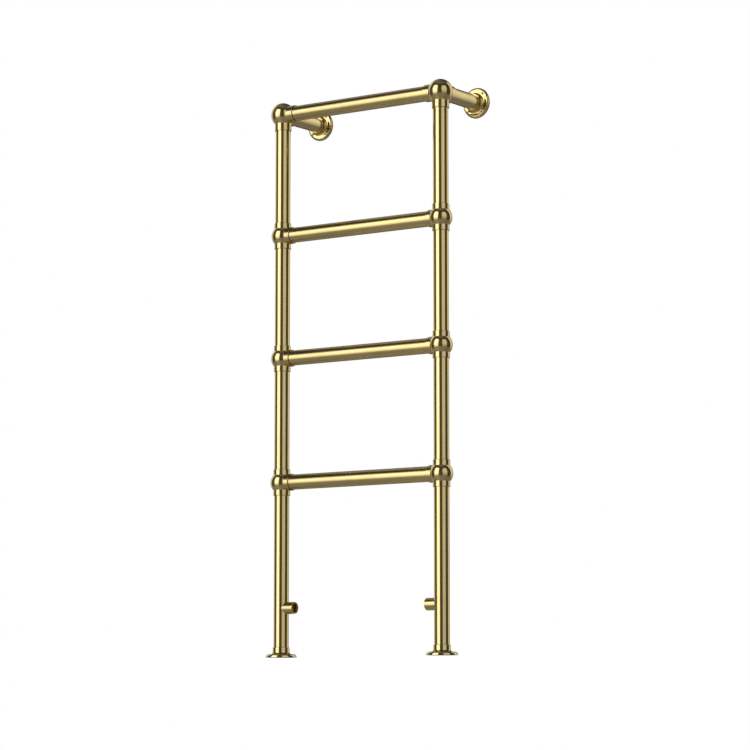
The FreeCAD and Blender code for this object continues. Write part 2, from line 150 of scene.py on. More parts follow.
# %% [markdown]
# ## Panels of light
# The room is a dark studio with a bright softbox to the left of the camera, a dimmer one to the
# right and light screens behind the object. A picture of a studio could do the same, but panels
# can be moved one at a time until each stripe fits. Each panel is a patch with soft edges,
# between two bearings and below one height. Panels that overlap add up, which gives a softbox its
# brighter middle.

# %% Panels of light
# Bearings where a panel starts and ends and the height of its top, in degrees, and its light.
PANELS = (
    (-172, -132, 60, 0.24),
    (-173, -155, 24, 0.46),
    (-155, -118, 45, 0.56),
    (-76.3, -31, 46, 1.72),
    (-65, -38, 46, 0.26),
    (10, 56.7, 44, 0.66),
    (100, 128, 60, 0.22),
    (104, 126, 52, 0.66),
    (126, 148, 46, 0.54),
    (148, 169, 26, 0.39),
)
PANEL_EDGE = 3.5


def soft_step(tree, value, edge, first, last):
    """Changes from the first number to the last across an edge, given in degrees."""
    inputs = {"Value": value, "From Min": edge - PANEL_EDGE, "From Max": edge + PANEL_EDGE,
              "To Min": first, "To Max": last}
    return add_node(tree, "ShaderNodeMapRange", inputs).outputs["Result"]


panels = 0.0
for start, end, top, light in PANELS:
    begun = soft_step(tree, bearing, start, 0.0, light)
    across = calculate(tree, "MULTIPLY", begun, soft_step(tree, bearing, end, 1.0, 0.0))
    panels = calculate(tree, "MULTIPLY_ADD", across, soft_step(tree, height, top, 1.0, 0.0), panels)
print("panels of light:", len(PANELS))

# %% [markdown]
# ## Greys of the room
# Between the panels the room isn't black: its floor is grey, its walls are dark, and its ceiling
# is a little lighter. Low down the panels fade into the floor. Both are ramps over the height,
# and the greys are a little brighter on the side of the large softbox. Camera rays get plain
# white, the photograph's background.

# %% Greys of the room
# Height in degrees, how much of the panels shows there, and the grey of the room itself.
ROOM_HEIGHTS = (
    (-90, 0.04, 0.21),
    (-26, 0.04, 0.20),
    (-20, 0.22, 0.106),
    (-14, 0.52, 0.05),
    (8, 0.93, 0.07),
    (20, 1.0, 0.072),
    (32, 1.0, 0.052),
    (44, 1.0, 0.028),
    (52, 1.0, 0.045),
    (64, 1.0, 0.10),
    (74, 1.0, 0.14),
)
STRAIGHT_DOWN, STRAIGHT_UP = -90, 90
BRIGHT_SIDE, SIDE_GAIN = -80, 0.18

inputs = {"Value": height, "From Min": STRAIGHT_DOWN, "From Max": STRAIGHT_UP}
level = add_node(tree, "ShaderNodeMapRange", inputs).outputs["Result"]
angles, shown, greys = zip(*ROOM_HEIGHTS)
positions = [(angle - STRAIGHT_DOWN) / (STRAIGHT_UP - STRAIGHT_DOWN) for angle in angles]
share = grey_ramp(tree, level, list(zip(positions, shown)))
fill = grey_ramp(tree, level, list(zip(positions, greys)))
from_side = calculate(tree, "RADIANS", calculate(tree, "SUBTRACT", bearing, BRIGHT_SIDE))
gain = calculate(tree, "MULTIPLY_ADD", calculate(tree, "COSINE", from_side), SIDE_GAIN, 1.0)
fill = calculate(tree, "MULTIPLY", fill, gain)
brightness = calculate(tree, "MULTIPLY_ADD", panels, share, fill)

room = add_node(tree, "ShaderNodeBackground", {"Color": brightness, "Strength": 1.0})
white = add_node(tree, "ShaderNodeBackground", {"Color": (1, 1, 1, 1), "Strength": 1.0})
path = add_node(tree, "ShaderNodeLightPath").outputs
seen = calculate(tree, "MAXIMUM", path["Is Camera Ray"], path["Is Transmission Ray"])
mixed = add_node(tree, "ShaderNodeMixShader", {0: seen, 1: room.outputs[0], 2: white.outputs[0]})
add_node(tree, "ShaderNodeOutputWorld", {"Surface": mixed.outputs[0]})
print("greys at", len(ROOM_HEIGHTS), "heights")

# %% [markdown]
# ## Floor
# The floor is a pale disc. A plain plane would end in a horizon, so the disc fades out towards
# its rim and meets the white background unseen, and it still takes the shadow of the feet. The
# photograph's camera is a hand below floor level, so the underside of the disc lets camera rays
# through.

# %% Floor
FLOOR_RADIUS, FLOOR_CORNERS = 1.6, 128
FLOOR_FADE_START = 0.55
FLOOR_COLOUR = (0.84, 0.84, 0.83, 1)
FLOOR_ROUGHNESS = 0.8

disc = bmesh.new()
bmesh.ops.create_circle(disc, cap_ends=True, segments=FLOOR_CORNERS, radius=FLOOR_RADIUS)
floor_mesh = bpy.data.meshes.new("floor")
disc.to_mesh(floor_mesh)
disc.free()
floor = bpy.data.objects.new("floor", floor_mesh)
scene.collection.objects.link(floor)
floor.visible_glossy = False

floor_finish = bpy.data.materials.new("pale_floor")
floor_finish.use_nodes = True
tree = floor_finish.node_tree
surface = tree.nodes["Principled BSDF"]
surface.inputs["Base Color"].default_value = FLOOR_COLOUR
surface.inputs["Roughness"].default_value = FLOOR_ROUGHNESS
place = add_node(tree, "ShaderNodeTexCoord").outputs["Object"]
distance = add_node(tree, "ShaderNodeVectorMath", {0: place}, operation="LENGTH").outputs["Value"]
inputs = {"Value": distance, "From Min": FLOOR_FADE_START, "From Max": FLOOR_RADIUS}
fade = add_node(tree, "ShaderNodeMapRange", inputs, interpolation_type="SMOOTHSTEP")
underside = add_node(tree, "ShaderNodeNewGeometry").outputs["Backfacing"]
camera_ray = add_node(tree, "ShaderNodeLightPath").outputs["Is Camera Ray"]
from_below = calculate(tree, "MULTIPLY", underside, camera_ray)
unseen = calculate(tree, "MAXIMUM", fade.outputs["Result"], from_below)
clear = add_node(tree, "ShaderNodeBsdfTransparent")
inputs = {0: unseen, 1: surface.outputs[0], 2: clear.outputs[0]}
mixed = add_node(tree, "ShaderNodeMixShader", inputs)
tree.links.new(mixed.outputs[0], tree.nodes["Material Output"].inputs["Surface"])
floor_mesh.materials.append(floor_finish)
print("floor fades from", FLOOR_FADE_START, "to", FLOOR_RADIUS, "metres")

# %% [markdown]
# ## Lamp
# One large lamp overhead lights the floor. Brass doesn't show it, because the room already holds
# what brass should show.

# %% Lamp
LAMP_PLACE = (-0.8, -1.2, 4.0)
LAMP_SIZE = 2.5
LAMP_WATTS = 115

lamp_data = bpy.data.lights.new("overhead", "AREA")
lamp_data.size = LAMP_SIZE
lamp_data.energy = LAMP_WATTS
lamp = bpy.data.objects.new("overhead", lamp_data)
lamp.location = LAMP_PLACE
lamp.rotation_euler = (-Vector(LAMP_PLACE)).to_track_quat("-Z", "Y").to_euler()
lamp.visible_glossy = False
lamp.visible_camera = False
scene.collection.objects.link(lamp)
print("lamp of", LAMP_WATTS, "watts at", LAMP_PLACE)

# %% [markdown]
# ## Lines left by polishing
# Satin brass is polished with a belt or turned on a lathe, and either leaves fine lines. A
# picture of scratches would repeat on every tube, and noise doesn't. The group below stretches
# noise along one direction: the finish that uses it says how finely the noise runs along each
# axis, and gets back one height between 0 and 1.

# %% Group of polishing lines
LINE_DETAIL = 3.0


def new_group(name, inputs, outputs):
    """Empty node group with named sockets, and the sockets of its two ends."""
    group = bpy.data.node_groups.new(name, "ShaderNodeTree")
    for label, kind in inputs.items():
        group.interface.new_socket(label, in_out="INPUT", socket_type=kind)
    for label in outputs:
        group.interface.new_socket(label, in_out="OUTPUT", socket_type="NodeSocketFloat")
    given = add_node(group, "NodeGroupInput").outputs
    handed_back = add_node(group, "NodeGroupOutput").inputs
    return group, given, handed_back


polishing_lines, given, handed_back = new_group(
    "polishing lines", {"Vector": "NodeSocketVector", "Fineness": "NodeSocketVector"}, ["Height"])
inputs = {0: given["Vector"], 1: given["Fineness"]}
scaled = add_node(polishing_lines, "ShaderNodeVectorMath", inputs, operation="MULTIPLY")
inputs = {"Vector": scaled.outputs["Vector"], "Scale": 1.0, "Detail": LINE_DETAIL}
noise = add_node(polishing_lines, "ShaderNodeTexNoise", inputs)
polishing_lines.links.new(noise.outputs["Fac"], handed_back["Height"])
print("group:", polishing_lines.name)

# %% [markdown]
# ## Handling, tarnish and painted shade
# Brass that is touched and wiped is never even. Large soft smudges change how dull it is and brown
# it faintly.
# Beside the seams the brown is partly tarnish, where no cloth reaches, and partly painted shade at
# the mouths of the sockets and in hollows. The seams come from a number that each piece carries on
# its points, called seam, because only the piece knows where its seams are. Fine specks break the
# brown up.

# %% Group of handling, tarnish and painted shade
SEAM = "seam"
SMUDGES_PER_METRE, SMUDGE_DETAIL, SMUDGE_DISTORTION = 16.0, 4.0, 0.6
SMUDGE_START, SMUDGE_END = 0.45, 0.80
SMUDGE_TARNISH = 0.12
SPECKS_PER_METRE, SPECK_DETAIL = 420.0, 2.0
BROWN_BETWEEN_SPECKS = 0.3

handling, given, handed_back = new_group(
    "handling, tarnish and painted shade", {"Vector": "NodeSocketVector", "Seam": "NodeSocketFloat"},
    ["Smudge", "Tarnish and shade"])
inputs = {"Vector": given["Vector"], "Scale": SMUDGES_PER_METRE, "Detail": SMUDGE_DETAIL,
          "Distortion": SMUDGE_DISTORTION}
smudge = add_node(handling, "ShaderNodeTexNoise", inputs).outputs["Fac"]
inputs = {"Vector": given["Vector"], "Scale": SPECKS_PER_METRE, "Detail": SPECK_DETAIL}
specks = add_node(handling, "ShaderNodeTexNoise", inputs).outputs["Fac"]
speckled = calculate(handling, "ADD", specks, BROWN_BETWEEN_SPECKS)
# The seam number paints shade, with some tarnish, beside the seams.
broken = calculate(handling, "MULTIPLY", given["Seam"], speckled)
inputs = {"Value": smudge, "From Min": SMUDGE_START, "From Max": SMUDGE_END,
          "To Max": SMUDGE_TARNISH}
faint = add_node(handling, "ShaderNodeMapRange", inputs).outputs["Result"]
inputs = {0: broken, 1: faint}
tarnish_and_shade = add_node(handling, "ShaderNodeMath", inputs, operation="ADD", use_clamp=True)
handling.links.new(smudge, handed_back["Smudge"])
handling.links.new(tarnish_and_shade.outputs[0], handed_back["Tarnish and shade"])
print("group:", handling.name)

# %% [markdown]
# ## One metal for all
# One function makes every metal, so that the finishes differ only where they should. The colour
# slips towards brown with tarnish and with painted shade beside the seams, the dullness follows
# smudges and lines, and the lines are a very low bump. Most lines follow the place on the piece. On
# a turned piece they follow a number called turn, which grows along the outline that was spun.

# %% Metal
TURN = "turn"
# Brown of tarnish, also used as painted shade beside the seams.
BROWN = (0.12, 0.075, 0.02, 1)
LINE_DEPTH = 4e-6
LINES_DULL, SMUDGE_DULL, TARNISH_AND_SHADE_DULL = 0.03, 0.05, 0.20


def mix_colours(tree, factor, first, second):
    """Mix node of two colours, handed back as its output socket."""
    node = add_node(tree, "ShaderNodeMix", {0: factor}, data_type="RGBA")
    sockets = [socket for socket in node.inputs if socket.type == "RGBA"]
    for socket, colour in zip(sockets, (first, second)):
        socket.default_value = colour
    return next(socket for socket in node.outputs if socket.type == "RGBA")


def metal_finish(name, colour, roughness, fineness, turned_piece=False):
    """Metal with lines, smudges and tarnish. fineness is that of the lines along each axis."""
    material = bpy.data.materials.new(name)
    material.use_nodes = True
    tree = material.node_tree
    shader = tree.nodes["Principled BSDF"].inputs
    shader["Metallic"].default_value = 1.0
    place = add_node(tree, "ShaderNodeTexCoord").outputs["Object"]
    seam = add_node(tree, "ShaderNodeAttribute", attribute_name=SEAM).outputs["Fac"]
    line_place = place
    if turned_piece:
        turn = add_node(tree, "ShaderNodeAttribute", attribute_name=TURN).outputs["Fac"]
        line_place = add_node(tree, "ShaderNodeCombineXYZ", {"X": turn}).outputs["Vector"]
    lines = add_node(tree, "ShaderNodeGroup", node_tree=polishing_lines)
    lines.inputs["Fineness"].default_value = fineness
    tree.links.new(line_place, lines.inputs["Vector"])
    marks = add_node(tree, "ShaderNodeGroup", node_tree=handling)
    tree.links.new(place, marks.inputs["Vector"])
    tree.links.new(seam, marks.inputs["Seam"])
    # Brown here is tarnish, and painted shade where the seam number is high.
    tarnished_and_shaded = mix_colours(tree, marks.outputs["Tarnish and shade"], colour, BROWN)
    tree.links.new(tarnished_and_shaded, shader["Base Color"])
    least = roughness - (LINES_DULL + SMUDGE_DULL) / 2
    dull = calculate(tree, "MULTIPLY_ADD", lines.outputs["Height"], LINES_DULL, least)
    dull = calculate(tree, "MULTIPLY_ADD", marks.outputs["Smudge"], SMUDGE_DULL, dull)
    dull = calculate(tree, "MULTIPLY_ADD", marks.outputs["Tarnish and shade"], TARNISH_AND_SHADE_DULL, dull)
    tree.links.new(dull, shader["Roughness"])
    inputs = {"Distance": LINE_DEPTH, "Height": lines.outputs["Height"]}
    bump = add_node(tree, "ShaderNodeBump", inputs)
    tree.links.new(bump.outputs["Normal"], shader["Normal"])
    return material


print("lines are", LINE_DEPTH, "metres deep")

# %% [markdown]
# ## Brass finishes
# Tubes are brushed along their length, so each direction of tube has its own finish. A stretched
# highlight could stand in for the brushing, but only lines can still be seen from close by. Balls
# have a grain without direction. Flanges and stubs are turned, and the inside of a stub is left
# raw, in a darker brown that is painted shade.

# %% Brass finishes
BRASS = (0.80, 0.632, 0.285, 1)
# Raw brass, darker than the rest as painted shade for the insides of bores.
RAW_SHADED_BRASS = (0.74, 0.54, 0.10, 1)
SATIN, POLISHED, RAW = 0.13, 0.05, 0.26
ALONG, ACROSS = 9.0, 1500.0
GRAIN = (700.0, 700.0, 700.0)
RINGS = (2500.0, 0.0, 0.0)

POST_BRASS = metal_finish("brushed_brass_post", BRASS, SATIN, (ACROSS, ACROSS, ALONG))
RAIL_BRASS = metal_finish("brushed_brass_rail", BRASS, SATIN, (ALONG, ACROSS, ACROSS))
STAY_BRASS = metal_finish("brushed_brass_stay", BRASS, SATIN, (ACROSS, ALONG, ACROSS))
BALL_BRASS = metal_finish("satin_brass_ball", BRASS, SATIN, GRAIN)
FLANGE_BRASS = metal_finish("turned_brass_flange", BRASS, POLISHED, RINGS, turned_piece=True)
STUB_BRASS = metal_finish("turned_brass_stub", BRASS, SATIN, RINGS, turned_piece=True)
BORE_BRASS = metal_finish("raw_shaded_brass_bore", RAW_SHADED_BRASS, RAW, RINGS, turned_piece=True)
print("brass in tubes", SATIN, "and flanges", POLISHED, "rough")

# %% [markdown]
# ## Steel and rubber
# Two small finishes for the parts that aren't brass: plain stainless steel for the grub screws,
# and dark rubber with a paler bloom for the seal under the vent plug.

# %% Steel and rubber
STEEL = (0.45, 0.45, 0.46, 1)
STEEL_DULL = 0.30
RUBBER, RUBBER_BLOOM = (0.018, 0.018, 0.019, 1), (0.045, 0.044, 0.042, 1)
RUBBER_DULL, RUBBER_UNEVEN = 0.62, 0.03
RUBBER_GRAIN, RUBBER_DETAIL = 1800.0, 3.0
RUBBER_DEPTH = 2e-5

SCREW_STEEL = metal_finish("plain_stainless", STEEL, STEEL_DULL, GRAIN)

SEAL_RUBBER = bpy.data.materials.new("seal_rubber_dark")
SEAL_RUBBER.use_nodes = True
tree = SEAL_RUBBER.node_tree
shader = tree.nodes["Principled BSDF"].inputs
place = add_node(tree, "ShaderNodeTexCoord").outputs["Object"]
inputs = {"Vector": place, "Scale": RUBBER_GRAIN, "Detail": RUBBER_DETAIL}
grain = add_node(tree, "ShaderNodeTexNoise", inputs).outputs["Fac"]
tree.links.new(mix_colours(tree, grain, RUBBER, RUBBER_BLOOM), shader["Base Color"])
dull = calculate(tree, "MULTIPLY_ADD", grain, RUBBER_UNEVEN, RUBBER_DULL)
tree.links.new(dull, shader["Roughness"])
bump = add_node(tree, "ShaderNodeBump", {"Distance": RUBBER_DEPTH, "Height": grain})
tree.links.new(bump.outputs["Normal"], shader["Normal"])
print("small finishes:", SCREW_STEEL.name, SEAL_RUBBER.name)

# %% [markdown]
# ## Spinning an outline
# Almost every piece here was made on a lathe, so almost every piece here is a spin: a few
# corners, rounded while they are still a flat outline, swept once round an axis. A ready-made
# cylinder would give square ends and one wall. An outline gives the bore, the bevel and the
# rounds at once. The spin happens at the origin and the shape is moved to its place afterwards:
# far from the origin the steps add up small errors, the ends no longer meet, and a shape that
# isn't closed can't drill a hole.

# %% Lathe
SPIN_STEPS = 96
ROUND_STEPS = 12
MERGE = 1e-6
RIGHT, BACK, UP = Vector((1, 0, 0)), Vector((0, 1, 0)), Vector((0, 0, 1))
ORIGIN = Vector((0, 0, 0))


def setback_of(points, index, rounding):
    """How far from a corner its rounding starts."""
    here = points[index].co
    before = points[index - 1].co - here
    after = points[(index + 1) % len(points)].co - here
    return rounding / math.tan(before.angle(after) / 2)


def lathe(corners, axis, centre, ring=True):
    """Spin corners, each a distance along the axis, a radius and perhaps a rounding.

    A ring closes on itself. Any other outline starts and ends on the axis.
    """
    bm = bmesh.new()
    out = axis.orthogonal().normalized()
    points = [bm.verts.new(axis * corner[0] + out * corner[1]) for corner in corners]
    for first, second in zip(points, points[1:]):
        bm.edges.new((first, second))
    if ring:
        bm.edges.new((points[-1], points[0]))
    rounded = [(points[index], setback_of(points, index, corner[2]))
               for index, corner in enumerate(corners) if len(corner) == 3]
    for point, setback in rounded:
        bmesh.ops.bevel(bm, geom=[point], offset=setback, segments=ROUND_STEPS, profile=0.5,
                        affect="VERTICES", material=-1)
    bmesh.ops.spin(bm, geom=bm.verts[:] + bm.edges[:], cent=ORIGIN, axis=axis, angle=math.tau,
                   steps=SPIN_STEPS, use_merge=True)
    bmesh.ops.remove_doubles(bm, verts=bm.verts, dist=MERGE)
    bmesh.ops.recalc_face_normals(bm, faces=bm.faces)
    bmesh.ops.translate(bm, verts=bm.verts, vec=centre)
    return bm


def rod(start, end, radius, axis, centre):
    """Plain round rod, for cutting and joining."""
    return lathe([(start, 0), (start, radius), (end, radius), (end, 0)], axis, centre, ring=False)


print("lathe of", SPIN_STEPS, "steps")

# %% [markdown]
# ## Joining and drilling
# A ball with collars is one casting, and a flange has holes. Shapes that only overlap would look
# joined from afar, but they keep hidden faces inside and can't make a hole. The Boolean modifier
# works both out. It needs objects, so the shapes become objects for a moment and come back as one
# bmesh.

# %% Joining and drilling
SOLVER = "MANIFOLD"


def combine(operation, base, *others):
    """Boolean of bmeshes, UNION, DIFFERENCE or INTERSECT, base first. All of them are used up."""
    holders = []
    for bm in (base, *others):
        mesh = bpy.data.meshes.new("shape")
        bm.to_mesh(mesh)
        bm.free()
        holders.append(bpy.data.objects.new("shape", mesh))
        scene.collection.objects.link(holders[-1])
    for other in holders[1:]:
        step = holders[0].modifiers.new("step", "BOOLEAN")
        step.operation = operation
        step.solver = SOLVER
        step.object = other
    worked_out = holders[0].evaluated_get(bpy.context.evaluated_depsgraph_get())
    result = bmesh.new()
    result.from_mesh(worked_out.to_mesh())
    worked_out.to_mesh_clear()
    for holder in holders:
        mesh = holder.data
        bpy.data.objects.remove(holder)
        bpy.data.meshes.remove(mesh)
    bmesh.ops.remove_doubles(result, verts=result.verts, dist=MERGE)
    bmesh.ops.dissolve_degenerate(result, edges=result.edges, dist=MERGE)
    return result


def gather(*shapes):
    """Several bmeshes as one, without joining their surfaces."""
    result = bmesh.new()
    for bm in shapes:
        mesh = bpy.data.meshes.new("shape")
        bm.to_mesh(mesh)
        bm.free()
        result.from_mesh(mesh)
        bpy.data.meshes.remove(mesh)
    return result


print("joins and cuts are worked out by the solver", SOLVER)

# %% [markdown]
# ## From shape to piece
# A finished piece carries its seams and turning marks as numbers on its points, has smooth faces
# that break at real edges, rides on its body and stands for its node.

# %% Finished pieces
SHARP_ANGLE = math.radians(28)
SEAM_REACH = 0.0009
SEAM_SLOPE = 2.0
CM3_IN_M3 = 1e6


def off_axis(point, centre, axis):
    """Distance along an axis, and distance from it."""
    offset = point - centre
    along = offset.dot(axis)
    return along, (offset - axis * along).length


def mark_points(bm, seams, reach, turned_about):
    """Number the points by their distance from the seams and along a turned outline.

    A seam is a circle: its centre, axis and radius. A turned piece has a centre and an axis.
    """
    seam_layer = bm.verts.layers.float.new(SEAM)
    turn_layer = bm.verts.layers.float.new(TURN)
    for vert in bm.verts:
        nearest = reach
        for centre, axis, radius in seams:
            along, away = off_axis(vert.co, centre, axis)
            nearest = min(nearest, math.hypot(along, away - radius))
        vert[seam_layer] = min(1, SEAM_SLOPE * (1 - nearest / reach))
        if turned_about:
            vert[turn_layer] = sum(off_axis(vert.co, *turned_about))


def keep_piece(bm, name, finishes, body="rail_frame", nodes=(), seams=(), reach=SEAM_REACH,
               turned_about=None):
    """Make the bmesh an object on its body. A face's material index chooses among the finishes."""
    mark_points(bm, seams, reach, turned_about)
    open_edges = sum(len(edge.link_faces) != 2 for edge in bm.edges)
    volume = bm.calc_volume() * CM3_IN_M3
    mesh = bpy.data.meshes.new(name)
    bm.to_mesh(mesh)
    bm.free()
    print(f"{name}: {len(mesh.polygons)} faces, {volume:.2f} cm3, {open_edges} open edges")
    mesh.shade_smooth()
    mesh.set_sharp_from_angle(angle=SHARP_ANGLE)
    for finish in finishes:
        mesh.materials.append(finish)
    piece = bpy.data.objects.new(name, mesh)
    scene.collection.objects.link(piece)
    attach(piece, body)
    if nodes:
        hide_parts(*nodes)


print("edges stay sharp from", round(math.degrees(SHARP_ANGLE)), "degrees")

# %% [markdown]
# ## Places
# Sizes and places could all be typed in again, but then a change of the model would leave the
# pieces behind. The record of the frame holds the mounts, and they give the axes exactly: each
# post stands over its floor fixing and each stay ends at its wall fixing. The rails' heights come
# from their boxes.

# %% Places
TEE_LEVELS = ("lower", "middle", "upper")
INWARD = {"left": RIGHT, "right": -RIGHT}

mounts = {mount["name"]: mount for mount in frame["record"]["mounts"]}
feet = {side: Vector(mounts[f"{side}_floor_fixing"]["pos_m"]) for side in INWARD}
walls = {side: Vector(mounts[f"{side}_wall_fixing"]["pos_m"]) for side in INWARD}
inlets = {side: Vector(mounts[f"{side}_inlet_thread"]["pos_m"]) for side in INWARD}


def middle(node):
    """Middle of a node's box."""
    low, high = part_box(node)
    return (low + high) / 2


def crossing(side, level):
    """Where the axis of a post meets the axis of a rail."""
    rail_height = walls[side].z if level == "top" else middle(f"{level}_rail").z
    return Vector((feet[side].x, feet[side].y, rail_height))


def reach_to(node, centre, axis):
    """How far a node reaches from a point along an axis."""
    low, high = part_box(node)
    return max((low - centre).dot(axis), (high - centre).dot(axis))


print("rail heights:", [round(crossing("left", level).z, 4) for level in (*TEE_LEVELS, "top")])

# %% [markdown]
# ## Tubes
# Fourteen lengths of one drawn tube: posts, legs, rails and stays. A curve with a round bevel
# would be quicker, but it has no wall and no bore. Each tube is a ring outline spun about its
# axis, with extra rings beside its seams so that the tarnish and painted shade there can fade. The
# legs have a port behind the inlet, and the top rail one under the vent. A port's drill starts on
# the axis, so it goes through one wall only.

# %% Tubes
TUBE_RADIUS, TUBE_BORE = 0.0190, 0.0175
PORT_RADIUS, VENT_PORT_RADIUS = 0.0100, 0.0030
PORT_DRILL = TUBE_RADIUS * 2


def tube_piece(name, node, axis, line, finish, neighbours, port=None):
    """line is a point on the axis, neighbours are the nodes before and after, None for no seam."""
    start, end = -reach_to(node, line, -axis), reach_to(node, line, axis)
    places = [sign * reach_to(neighbour, line, axis * sign)
              for neighbour, sign in zip(neighbours, (1, -1)) if neighbour]
    rings = {start, end}
    for place in places:
        rings |= {place - SEAM_REACH, place, place + SEAM_REACH}
    outside = [(ring, TUBE_RADIUS) for ring in sorted(rings) if start <= ring <= end]
    shape = lathe([*outside, (end, TUBE_BORE), (start, TUBE_BORE)], axis, line)
    if port:
        shape = combine("DIFFERENCE", shape, port)
    # Seams where the tube enters a fitting get painted shade and tarnish.
    seams = [(line + axis * place, axis, TUBE_RADIUS) for place in places]
    keep_piece(shape, name, [finish], nodes=[node], seams=seams)


for side, inward in INWARD.items():
    post = feet[side]
    chain = [f"{side}_{level}_tee_ball" for level in TEE_LEVELS] + [f"{side}_top_corner_ball"]
    for level, below, above in zip(TEE_LEVELS, chain, chain[1:]):
        node = f"{side}_{level}_post_tube"
        tube_piece(f"{side}_{level}_post", node, UP, post, POST_BRASS, (below, above))
    ends = (f"{side}_foot_flange", chain[0])
    port = rod(0, PORT_DRILL, PORT_RADIUS, inward, Vector((post.x, post.y, inlets[side].z)))
    tube_piece(f"{side}_leg", f"{side}_leg_tube", UP, post, POST_BRASS, ends, port)
    ends = (chain[-1], None)
    tube_piece(f"{side}_stay", f"{side}_wall_stay", BACK, walls[side], STAY_BRASS, ends)
for level in TEE_LEVELS:
    ends = (f"left_{level}_tee_ball", f"right_{level}_tee_ball")
    line = crossing("left", level)
    tube_piece(f"{level}_crossbar", f"{level}_rail", RIGHT, line, RAIL_BRASS, ends)

vent = middle("vent_boss")
vent.y = feet["left"].y
port = rod(0, PORT_DRILL, VENT_PORT_RADIUS, BACK, vent)
ends = ("left_top_corner_ball", "right_top_corner_ball")
tube_piece("top_crossbar", "top_rail", RIGHT, crossing("left", "top"), RAIL_BRASS, ends, port)

# %% [markdown]
# ## Ball fittings
# A ball with three sockets, cast in one and turned. A sphere and three spun collars are joined,
# then stepped bores are cut: a socket for each tube and a narrower waterway that meets the others
# in the middle. The socket for a stay is blind, because no water runs to the wall.

# %% Ball fittings
SOCKET_RADIUS, SOCKET_BOTTOM = 0.01905, 0.02005
COLLAR_RADIUS, COLLAR_BEVEL, COLLAR_START = 0.02125, 0.0006, 0.0050
WATERWAY = 0.0155
MOUTH_REACH = 0.0024
BALL_SEGMENTS = 96


def ball_fitting(ball_radius, sockets, blind):
    """Fitting at the origin. Sockets are pairs of direction and reach, and one may be blind."""
    ball = bmesh.new()
    bmesh.ops.create_uvsphere(ball, u_segments=BALL_SEGMENTS, v_segments=BALL_SEGMENTS // 2,
                              radius=ball_radius)
    collars, bores = [], []
    for axis, reach in sockets:
        outline = [(COLLAR_START, 0), (COLLAR_START, COLLAR_RADIUS),
                   (reach - COLLAR_BEVEL, COLLAR_RADIUS), (reach, COLLAR_RADIUS - COLLAR_BEVEL),
                   (reach, 0)]
        collars.append(lathe(outline, axis, ORIGIN, ring=False))
        bores.append(rod(SOCKET_BOTTOM, reach + COLLAR_BEVEL, SOCKET_RADIUS, axis, ORIGIN))
        if axis != blind:
            bores.append(rod(-COLLAR_START, SOCKET_BOTTOM + COLLAR_BEVEL, WATERWAY, axis, ORIGIN))
    return combine("DIFFERENCE", combine("UNION", ball, *collars), *bores)


def fitting_piece(name, node, centre, axes, blind=None):
    """Measure the node of a fitting and make the piece that stands for it."""
    sockets = [(axis, reach_to(node, centre, axis)) for axis in axes]
    # The mouths of the sockets get painted shade and tarnish through the seam number.
    mouths = [(centre + axis * reach, axis, TUBE_RADIUS) for axis, reach in sockets]
    shape = ball_fitting(reach_to(node, centre, -BACK), sockets, blind)
    bmesh.ops.translate(shape, verts=shape.verts, vec=centre)
    keep_piece(shape, name, [BALL_BRASS], nodes=[node], seams=mouths,
               reach=MOUTH_REACH)


for side, inward in INWARD.items():
    for level in TEE_LEVELS:
        node = f"{side}_{level}_tee_ball"
        fitting_piece(f"{side}_{level}_tee", node, crossing(side, level), (UP, -UP, inward))
    node = f"{side}_top_corner_ball"
    fitting_piece(f"{side}_corner", node, crossing(side, "top"), (-UP, inward, BACK), blind=BACK)

# %% [markdown]
# ## Outline of a flange
# Four turned flanges: a thin plate with a rounded rim, a hollow fillet and a short neck. Discs
# and rings could be piled up, but the curves that catch the light would break between them. One
# outline has a corner for each form, and the plate dips a little from the rim to the fillet. The
# two on the wall are closed at the back and slide on their stays. The two on the floor are bored
# through for the legs.

# %% Outline of a flange
FLANGE_RADIUS, FLANGE_HEIGHT = 0.0385, 0.0248
RIM_HEIGHT, RIM_ROUND = 0.0082, 0.0064
CROWN_HEIGHT, ROOT_FILLET = 0.0073, 0.0060
NECK_RADIUS, NECK_BORE, NECK_ROUND = 0.0211, 0.0191, 0.0010
WALL_FLANGE_FLOOR = 0.0040


def flange_outline(axis, base, closed):
    """Flange without its holes, standing on its base along the axis."""
    front = [(0, FLANGE_RADIUS), (RIM_HEIGHT, FLANGE_RADIUS, RIM_ROUND),
             (CROWN_HEIGHT, NECK_RADIUS, ROOT_FILLET), (FLANGE_HEIGHT, NECK_RADIUS, NECK_ROUND),
             (FLANGE_HEIGHT, NECK_BORE)]
    if closed:
        inside = [(WALL_FLANGE_FLOOR, NECK_BORE), (WALL_FLANGE_FLOOR, 0)]
        return lathe([(0, 0), *front, *inside], axis, base, ring=False)
    return lathe([(0, NECK_BORE), *front], axis, base)


print("flange", FLANGE_RADIUS * 2, "metres across")

# %% [markdown]
# ## Drilled flanges
# The fixing holes and the hole of the grub screw are drilled. A drill for a fixing hole widens to
# a cone where it leaves the plate, which is the countersink for the head of the screw. The hollow
# between plate and neck is painted brown on the two floor flanges, as painted shade.

# %% Drilled flanges
SCREWS = 4
COUNTERSINK, DRILL_ROOM = 0.0012, 0.0004
GRUB_HOLE, GRUB_EDGE = 0.00205, 0.0065
GRUB_HEIGHT = FLANGE_HEIGHT - GRUB_EDGE
ROOT_SHADE_PLACE, ROOT_SHADE_REACH = ROOT_FILLET / 3, 0.0035
MM = 0.001


